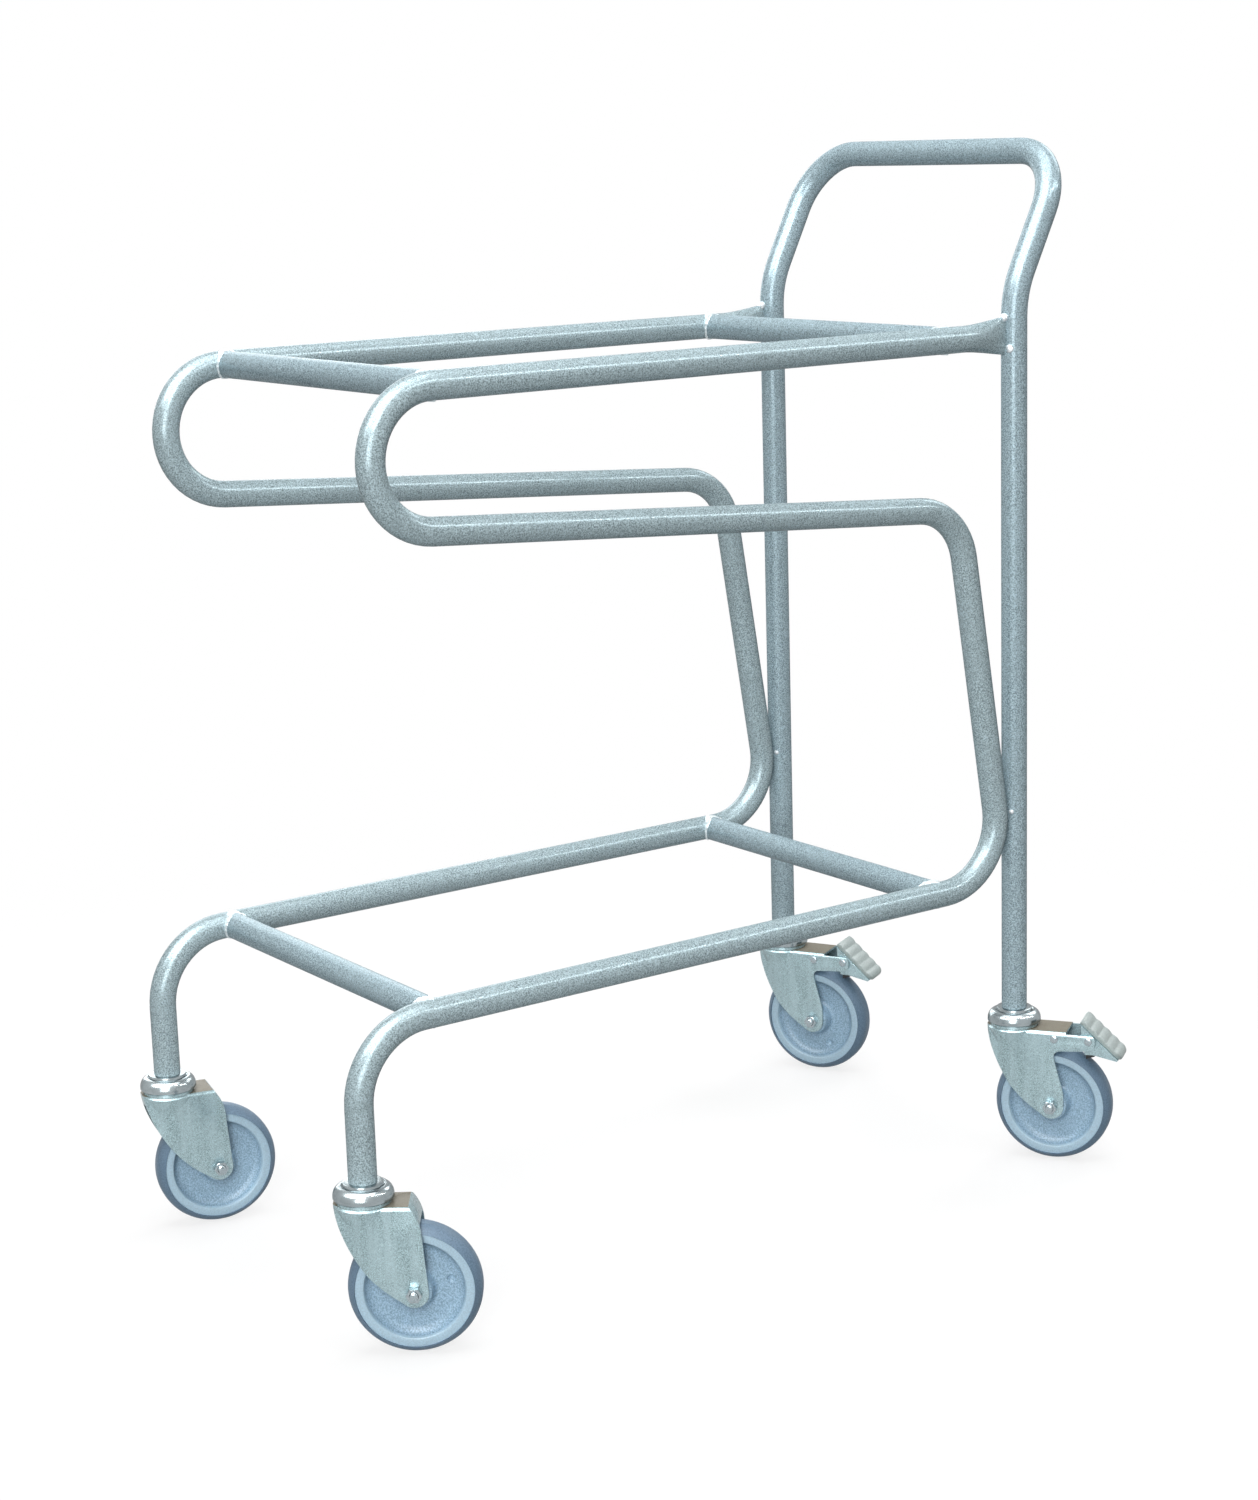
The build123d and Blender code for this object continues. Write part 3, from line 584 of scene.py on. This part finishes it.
def model_weld_dab(name, spot, half_size):
    """A short lump of weld."""
    deselect_all()
    bpy.ops.mesh.primitive_ico_sphere_add(subdivisions=4, radius=1, location=spot, scale=half_size)
    dab = bpy.context.object
    dab.name = name
    apply_place(dab)
    texture = bpy.data.textures.new("Weld lumps", "CLOUDS")
    texture.noise_scale = 4 * MM
    lumps = dab.modifiers.new("Lumps", "DISPLACE")
    lumps.texture = texture
    lumps.texture_coords = "LOCAL"
    lumps.strength = 2.2 * MM
    finish_modifier(dab, lumps)
    smooth(dab, 60)
    return dab


def weld_uprights():
    """Dabs where the flat ends of the top rails and the lean legs meet the uprights."""
    for side, way in (("left", 1), ("right", -1)):
        spot = (way * SIDE_X, STEM_Y - TUBE_R - 1 * MM, TOP_RAIL_Z + FLAT_HALF_H - 1 * MM)
        dab = model_weld_dab(f"weld_flat_upper_{side}", spot, (4.8 * MM, 4.6 * MM, 4.4 * MM))
        set_weld(dab, WELD_DAB_PAINTED_HIGHLIGHT)
        for face, shift in (("outer", 6 * MM), ("inner", -6 * MM)):
            spot = (way * (SIDE_X + shift), STEM_Y - 12 * MM, TOP_RAIL_Z - 13 * MM)
            dab = model_weld_dab(f"weld_flat_{face}_{side}", spot, (4.6 * MM, 3.0 * MM, 4.6 * MM))
            set_weld(dab, WELD_DAB_PAINTED_HIGHLIGHT)
            spot = (way * (SIDE_X + 1.25 * shift), STEM_Y - 11 * MM, LEAN_TOUCH_Z)
            dab = model_weld_dab(f"weld_lean_{face}_{side}", spot, (3.2 * MM, 2.6 * MM, 2.6 * MM))
            set_weld(dab, WELD_DAB_PAINTED_HIGHLIGHT)


# Swivel heads


def model_swivel_head():
    """A domed head with a grooved collar under the tube."""
    bottom, top = 149.5 * MM, 165 * MM
    bore_r, edge_r, collar_r = 8.03 * MM, 28.45 * MM, 19 * MM
    dome_z, dome_top, dome_r = 152.3 * MM, 162.2 * MM, 20.6 * MM
    rings = [(bore_r, bottom), (edge_r - 1 * MM, bottom), (edge_r, bottom + 1 * MM)]
    for step in range(11):
        turn = radians(9 * step)
        rings.append((dome_r + (edge_r - dome_r) * cos(turn), dome_z + (dome_top - dome_z) * sin(turn)))
    rings += [
        (19.9 * MM, 161.4 * MM),
        (19.1 * MM, 161.2 * MM),
        (collar_r, 161.8 * MM),
        (collar_r, 164.0 * MM),
        (18.7 * MM, 164.7 * MM),
        (18 * MM, top),
        (bore_r, top),
        (bore_r, bottom),
    ]
    return turned("swivel_head", rings, sides=96)


def make_swivel_heads():
    head = model_swivel_head()
    smooth(head, 40)
    heads = [copy_of(head, f"swivel_head_{corner}", caster_place(corner)) for corner in SWING]
    bpy.data.objects.remove(head)
    settle(join_as("swivel_heads_polished", heads), "swivel_heads", "frame", CHROME)


# Pressed sheet: the CAD shapes with their sharp edges rounded


def pressed(node, body, material, edge, name):
    """A copy of a CAD node with rounded edges."""
    piece = bpy.data.objects.new(name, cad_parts[node].data.copy())
    bpy.context.collection.objects.link(piece)
    open_mesh(piece)
    bpy.ops.mesh.select_all(action="SELECT")
    bpy.ops.mesh.customdata_custom_splitnormals_clear()
    bpy.ops.mesh.remove_doubles(threshold=MERGE)
    bpy.ops.mesh.dissolve_limited(angle_limit=radians(0.5))
    close_mesh()
    round_edges(piece, edge)
    smooth(piece)
    settle(piece, node, body, material)
    return piece


def mark_top(fork):
    """Marks the flat top behind the swivel, which is rougher than the sides and gets a painted dark brown
    reflection.
    """
    level, near = 0.95, 0.4 * MM
    marks = fork.data.attributes.new("dull_top_painted_reflection", "FLOAT", "FACE")
    for face in fork.data.polygons:
        at_top = abs(face.center.z - FORK_TOP_Z) < near
        marks.data[face.index].value = at_top and face.normal.z > level


def make_forks():
    for corner in SWING:
        body = f"swivel_{corner}"
        mark_top(pressed(f"fork_{corner}", body, CASTER_ZINC, 0.5 * MM, f"fork_{corner}_pressed"))


# Axle bolts and nuts


def model_hexagon(depth, spot_z):
    """A six-sided bar about the Z axis, its corners along Y."""
    deselect_all()
    bpy.ops.mesh.primitive_cylinder_add(
        vertices=6, radius=HEX_FLATS / sqrt(3), depth=depth, location=(0, 0, spot_z)
    )
    bar = bpy.context.object
    apply_place(bar)
    return bar


def model_nut():
    """A nut with its corners turned off, standing on the fork's side."""
    bore_r, corner_r, flat_r = BOLT_R + 0.03 * MM, HEX_FLATS / sqrt(3) + 0.1 * MM, HEX_FLATS / 2
    base, top = FORK_HALF_W, FORK_HALF_W + NUT_H
    chamfer = 0.75 * MM
    rings = [
        (bore_r, base),
        (flat_r, base),
        (corner_r, base + chamfer),
        (corner_r, top - chamfer),
        (flat_r, top),
        (bore_r + 0.5 * MM, top),
        (bore_r, top - 0.5 * MM),
        (bore_r, base),
    ]
    nut = turned("axle_nut", rings)
    combine(nut, model_hexagon(2 * NUT_H, FORK_HALF_W + NUT_H / 2), "INTERSECT")
    smooth(nut)
    return nut


def model_bolt():
    """A bolt with a hexagon head and a threaded, domed end."""
    pitch, thread_depth = 1.25 * MM, 0.5 * MM
    tip = FORK_HALF_W + NUT_H + BOLT_END
    rings = [(BOLT_R, -FORK_HALF_W - 1 * MM)]
    thread = FORK_HALF_W + 0.5 * MM
    while thread + pitch < tip - 0.8 * MM:
        rings += [(BOLT_R, thread), (BOLT_R - thread_depth, thread + pitch / 2)]
        thread += pitch
    rings += [
        (BOLT_R, thread),
        (BOLT_R, tip - 0.9 * MM),
        (BOLT_R - 0.5 * MM, tip - 0.35 * MM),
        (BOLT_R - 1.4 * MM, tip - 0.08 * MM),
        (0.4 * MM, tip),
    ]
    shank = turned("axle_bolt", rings, sides=40, solid=True)
    flat_r, corner_r = HEX_FLATS / 2, HEX_FLATS / sqrt(3) + 0.1 * MM
    end = -FORK_HALF_W - BOLT_HEAD_H
    head_rings = [(flat_r, end), (corner_r, end + 0.75 * MM), (corner_r, -FORK_HALF_W)]
    head = turned("bolt_head", head_rings, solid=True)
    combine(head, model_hexagon(2 * BOLT_HEAD_H, -FORK_HALF_W - BOLT_HEAD_H / 2), "INTERSECT")
    smooth(shank)
    smooth(head)
    return join_as("axle_bolt", [shank, head])


def make_axles():
    for model, kind in ((model_nut(), "axle_nut"), (model_bolt(), "axle_bolt")):
        for corner in SWING:
            piece = copy_of(model, f"{kind}_{corner}_turned", caster_place(corner) @ ON_AXLE)
            settle(piece, f"{kind}_{corner}", f"swivel_{corner}", FASTENER_ZINC)
        bpy.data.objects.remove(model)


# Wheels


def both_ends(half_rings):
    """Rings of (radius, half width) carried round both ends of a wheel and closed."""
    other_end = [(radius, -half) for radius, half in reversed(half_rings)]
    return [*half_rings, *other_end, half_rings[0]]


def model_wheel_core():
    """A moulded core with a hub, a dished web and a rim."""
    hub_r, hub_half = 16 * MM, 18.5 * MM
    web_half, web_in, web_out = 5 * MM, 19 * MM, 44.2 * MM
    rim_in, rim_r, rim_half = 47.2 * MM, 55.4 * MM, 14.4 * MM
    core = turned(
        "wheel_core",
        both_ends(
            [
                (7.55 * MM, hub_half),
                (hub_r, hub_half),
                (web_in, web_half),
                (web_out, web_half),
                (rim_in, rim_half),
                (rim_r, rim_half),
            ]
        ),
        sides=120,
    )
    round_ring(core, web_out, web_half, 7 * MM, steps=9)
    round_ring(core, web_in, web_half, 3.4 * MM, steps=5)
    round_ring(core, rim_in, rim_half, 1.2 * MM)
    round_ring(core, rim_r, rim_half, 0.7 * MM, steps=3)
    round_ring(core, hub_r, hub_half, 1 * MM)
    dimple(core, 34 * MM, web_half)
    smooth(core)
    # Marks the rim for a painted paler colour, which makes the recessed dish inside it look shaded.
    painted_rim_light = core.data.attributes.new("painted_rim_light", "FLOAT", "POINT")
    for point in core.data.vertices:
        painted_rim_light.data[point.index].value = hypot(point.co.x, point.co.y) > rim_in - 1.3 * MM
    return core


def dimple(core, radius, face):
    """A shallow round hollow in both faces of the web."""
    hollow_r, depth = 4.2 * MM, 2 * MM
    ball_r = (hollow_r**2 + depth**2) / (2 * depth)
    for way in (1, -1):
        deselect_all()
        bpy.ops.mesh.primitive_uv_sphere_add(
            segments=64, ring_count=48, radius=ball_r, location=(0, radius, way * (face + ball_r - depth))
        )
        ball = bpy.context.object
        apply_place(ball)
        combine(core, ball, "DIFFERENCE")


def model_tread():
    """A rubber tread with rounded shoulders."""
    base_r, side_half = 55.43 * MM, 16 * MM
    shoulder_r, shoulder_half = 60.3 * MM, 11 * MM
    crown_r, crown_half = 62.5 * MM, 5.5 * MM
    tread = turned(
        "tread",
        both_ends([(base_r, side_half), (shoulder_r, shoulder_half), (crown_r, crown_half)]),
        sides=144,
    )
    round_ring(tread, shoulder_r, shoulder_half, 2.6 * MM, steps=5)
    round_ring(tread, crown_r, crown_half, 2.2 * MM, steps=5)
    smooth(tread)
    return tread


def make_wheels():
    parts = ((model_wheel_core(), "wheel_core", WHEEL_PLASTIC), (model_tread(), "tread", TREAD_RUBBER))
    for model, kind, material in parts:
        for corner in SWING:
            rolled = Matrix.Rotation(radians(ROLL[corner]), 4, "Z")
            piece = copy_of(model, f"{kind}_{corner}_moulded", caster_place(corner) @ ON_AXLE @ rolled)
            settle(piece, f"{kind}_{corner}", f"wheel_{corner}", material)
        bpy.data.objects.remove(model)


# Brakes


def model_rivet():
    """A pin right across the fork, with a domed head at each side."""
    pin_r, head_r, head_h, brim_h = 3 * MM, 4.25 * MM, 1.9 * MM, 0.8 * MM
    brim, dome_h = FORK_HALF_W + brim_h, head_h - brim_h
    upper = [(pin_r, FORK_HALF_W), (head_r, FORK_HALF_W)]
    for turn in range(0, 85, 12):
        upper.append((head_r * cos(radians(turn)), brim + dome_h * sin(radians(turn))))
    upper.append((0.3 * MM, FORK_HALF_W + head_h))
    lower = [(radius, -height) for radius, height in reversed(upper)]
    rivet = turned("rivet", [*lower, *upper], sides=40, solid=True)
    smooth(rivet, 40)
    return rivet


def make_brake_pins():
    rivet = model_rivet()
    for corner in BRAKED:
        pair = [
            copy_of(rivet, f"rivet_{corner}", caster_place(corner) @ across_caster(trail, BRAKE_PIN_Z))
            for trail in (BRAKE_PIVOT_Y, BRAKE_RIVET_Y)
        ]
        pins = join_as(f"brake_pins_{corner}_domed", pair)
        settle(pins, f"brake_pins_{corner}", f"swivel_{corner}", FASTENER_ZINC)
    bpy.data.objects.remove(rivet)


def pedal_steps():
    """Sections along the pedal, front to rear: place along it, half width and thickness."""
    ridge_steps = 10
    end_steps, end_turn = 8, 84
    thin_end = 0.55
    length = PEDAL_FRONT + PEDAL_REAR
    steps = []
    for along, edge in ((0.05 * MM, 0.8 * MM), (0.3 * MM, 0.3 * MM)):
        steps.append((along, PEDAL_HALF_W - edge, PEDAL_T - edge))
    for step in range(1, RIDGE_COUNT * ridge_steps):
        along = length * step / (RIDGE_COUNT * ridge_steps)
        if along > length - PEDAL_CORNER_R:
            break
        steps.append((along, PEDAL_HALF_W, PEDAL_T + RIDGE_H * abs(sin(pi * step / ridge_steps))))
    for step in range(end_steps + 1):
        turn = radians(end_turn * step / end_steps)
        along = length - PEDAL_CORNER_R * (1 - sin(turn))
        half_width = PEDAL_HALF_W - PEDAL_CORNER_R * (1 - cos(turn))
        ridge = abs(sin(pi * RIDGE_COUNT * along / length))
        thinner = thin_end + (1 - thin_end) * cos(turn) ** 0.5
        steps.append((along, half_width, (PEDAL_T + RIDGE_H * ridge) * thinner))
    return steps


def model_pedal():
    """A moulded pedal with rounded ridges across it and a round lower end, drawn out along Y."""
    steps = pedal_steps()
    along, half_width, thick = steps[0]
    deselect_all()
    bpy.ops.mesh.primitive_plane_add(size=1, rotation=(pi / 2, 0, 0), location=(0, along, thick / 2))
    pedal = bpy.context.object
    pedal.name = "pedal"
    pedal.scale = (2 * half_width, thick, 1)
    apply_place(pedal)
    open_mesh(pedal)
    bpy.ops.mesh.select_all(action="SELECT")
    bpy.ops.mesh.bevel(offset=1 * MM, segments=4, affect="VERTICES")
    bpy.ops.mesh.select_all(action="SELECT")
    bpy.ops.mesh.delete(type="ONLY_FACE")
    bpy.ops.mesh.select_mode(type="EDGE")
    bpy.ops.mesh.select_all(action="SELECT")
    for next_along, next_half, next_thick in steps[1:]:
        bpy.ops.mesh.extrude_region_move(TRANSFORM_OT_translate={"value": (0, next_along - along, 0)})
        ratio = (next_half / half_width, 1, next_thick / thick)
        bpy.ops.transform.resize(value=ratio, center_override=(0, next_along, 0))
        along, half_width, thick = next_along, next_half, next_thick
    bpy.ops.mesh.select_all(action="SELECT")
    bpy.ops.mesh.fill_holes(sides=0)
    close_mesh()
    close_shell(pedal)
    smooth(pedal, 40)
    return pedal


def make_pedals():
    pedal = model_pedal()
    slope = Matrix.Translation((0, BRAKE_PIVOT_Y, BRAKE_PIN_Z)) @ Matrix.Rotation(-PEDAL_TILT, 4, "X")
    slope = slope @ Matrix.Translation((0, -PEDAL_FRONT, PEDAL_RISE))
    for corner in BRAKED:
        piece = copy_of(pedal, f"brake_pedal_{corner}_moulded", caster_place(corner) @ slope)
        settle(piece, f"brake_pedal_{corner}", f"brake_{corner}", PEDAL_PLASTIC)
    bpy.data.objects.remove(pedal)


def make_brakes():
    make_brake_pins()
    make_pedals()
    for corner in BRAKED:
        body = f"brake_{corner}"
        pressed(f"brake_lever_{corner}", body, CASTER_ZINC, 0.4 * MM, f"brake_lever_{corner}_pressed")
        pressed(f"brake_shoe_{corner}", body, SHOE_RUBBER, 0.8 * MM, f"brake_shoe_{corner}_moulded")


# Floor, light and camera


def path_mix(tree, rays):
    """1 for the rays that show the background, 0 for those that only light the trolley."""
    total = rays.outputs["Is Camera Ray"]
    for kind in ("Is Glossy Ray", "Is Transmission Ray"):
        most = add_node(tree, "ShaderNodeMath", operation="MAXIMUM")
        link(tree, total, most.inputs[0])
        link(tree, rays.outputs[kind], most.inputs[1])
        total = most.outputs["Value"]
    return total


def make_floor():
    """A pale floor round the trolley that fades into the white background."""
    floor_r, fade_start, fade_end = 2.4, 0.5, 1.5
    grey, brightness = 0.2, 0.78
    deselect_all()
    bpy.ops.mesh.primitive_circle_add(vertices=96, radius=floor_r, fill_type="NGON")
    floor = bpy.context.object
    floor.name = "floor"
    material = bpy.data.materials.new("pale_floor")
    material.use_nodes = True
    tree = material.node_tree
    tree.nodes.clear()
    surface = add_node(tree, "ShaderNodeBsdfDiffuse")
    surface.inputs["Color"].default_value = (grey, grey, grey, 1)
    glow = add_node(tree, "ShaderNodeEmission")
    glow.inputs["Color"].default_value = (1, 1, 1, 1)
    rays = add_node(tree, "ShaderNodeLightPath")
    lift = value_between(tree, path_mix(tree, rays), 0, brightness)
    link(tree, lift, glow.inputs["Strength"])
    lit = add_node(tree, "ShaderNodeAddShader")
    link(tree, surface.outputs["BSDF"], lit.inputs[0])
    link(tree, glow.outputs["Emission"], lit.inputs[1])
    clear = add_node(tree, "ShaderNodeBsdfTransparent")
    place = add_node(tree, "ShaderNodeTexCoord")
    reach = add_node(tree, "ShaderNodeVectorMath", operation="LENGTH")
    link(tree, place.outputs["Object"], reach.inputs[0])
    fade = add_node(tree, "ShaderNodeMapRange", interpolation_type="SMOOTHSTEP")
    fade.inputs["From Min"].default_value = fade_start
    fade.inputs["From Max"].default_value = fade_end
    link(tree, reach.outputs["Value"], fade.inputs["Value"])
    mix = add_node(tree, "ShaderNodeMixShader")
    link(tree, fade.outputs["Result"], mix.inputs["Fac"])
    link(tree, lit.outputs["Shader"], mix.inputs[1])
    link(tree, clear.outputs["BSDF"], mix.inputs[2])
    output = add_node(tree, "ShaderNodeOutputMaterial")
    link(tree, mix.outputs["Shader"], output.inputs["Surface"])
    floor.data.materials.append(material)


def make_world():
    """White behind the trolley. Its light on the trolley is dim, and dimmer from below."""
    world = bpy.data.worlds.new("studio")
    bpy.context.scene.world = world
    world.use_nodes = True
    tree = world.node_tree
    background = tree.nodes["Background"]
    background.inputs["Color"].default_value = (1, 1, 1, 1)
    place = add_node(tree, "ShaderNodeTexCoord")
    parts = add_node(tree, "ShaderNodeSeparateXYZ")
    link(tree, place.outputs["Generated"], parts.inputs["Vector"])
    rays = add_node(tree, "ShaderNodeLightPath")
    mix = add_node(tree, "ShaderNodeMix")
    link(tree, path_mix(tree, rays), mix.inputs["Factor"])
    link(tree, value_between(tree, parts.outputs["Z"], 0.02, 0.1), mix.inputs["A"])
    mix.inputs["B"].default_value = 1
    link(tree, mix.outputs["Result"], background.inputs["Strength"])


def add_softbox(name, spot, aim, size, power, gloss_only=False):
    """A soft lamp. One for gloss only shows in highlights and adds no light to dull surfaces."""
    bpy.ops.object.light_add(type="AREA", location=spot)
    lamp = bpy.context.object
    lamp.name = name
    lamp.data.shape = "RECTANGLE"
    lamp.data.size, lamp.data.size_y = size
    lamp.data.energy = power
    lamp.rotation_euler = (Vector(aim) - Vector(spot)).to_track_quat("-Z", "Y").to_euler()
    lamp.visible_diffuse = not gloss_only


def make_lights():
    middle = (0, 0, 0.5)
    behind_rails = (0.2, 2.0, 0.85)
    add_softbox("overhead_softbox", (0.3, -0.1, 4.6), middle, (3.4, 3.4), 176)
    add_softbox("front_softbox", (3.4, -3.45, 1.3), middle, (2.4, 2.0), 112)
    add_softbox("key_softbox", (3.8, -3.25, 3.7), middle, (1.8, 1.4), 106)
    add_softbox("back_softbox", (-0.7, 3.3, 2.5), middle, (1.8, 1.2), 50)
    add_softbox("side_softbox", (-3.6, 0.9, 1.5), middle, (2.4, 2.0), 66)
    add_softbox("nose_softbox", (0.6, -2.4, 3.9), middle, (4.8, 3.2), 450, gloss_only=True)
    add_softbox("rail_strip", (2.2, 2.0, 2.8), behind_rails, (4.0, 0.06), 60, gloss_only=True)


def make_camera():
    """The camera where the photograph was taken from: turned, tipped down and slightly rolled."""
    azimuth, pitch, roll = radians(54.89), radians(12.29), radians(1.72)
    turn = Matrix.Rotation(azimuth, 4, "Z") @ Matrix.Rotation(pi / 2 - pitch, 4, "X")
    turn = turn @ Matrix.Rotation(-roll, 4, "Z")
    bpy.ops.object.camera_add()
    camera = bpy.context.object
    camera.matrix_world = Matrix.Translation((2.3336, -1.5930, 1.0899)) @ turn
    camera.data.lens = 67.5
    camera.data.sensor_width = 36
    bpy.context.scene.camera = camera


dress_cad_nodes()
weld_crossbars()
weld_uprights()
make_swivel_heads()
make_forks()
make_axles()
make_wheels()
make_brakes()
make_floor()
make_world()
make_lights()
make_camera()
bpy.context.scene.view_settings.view_transform = "Standard"
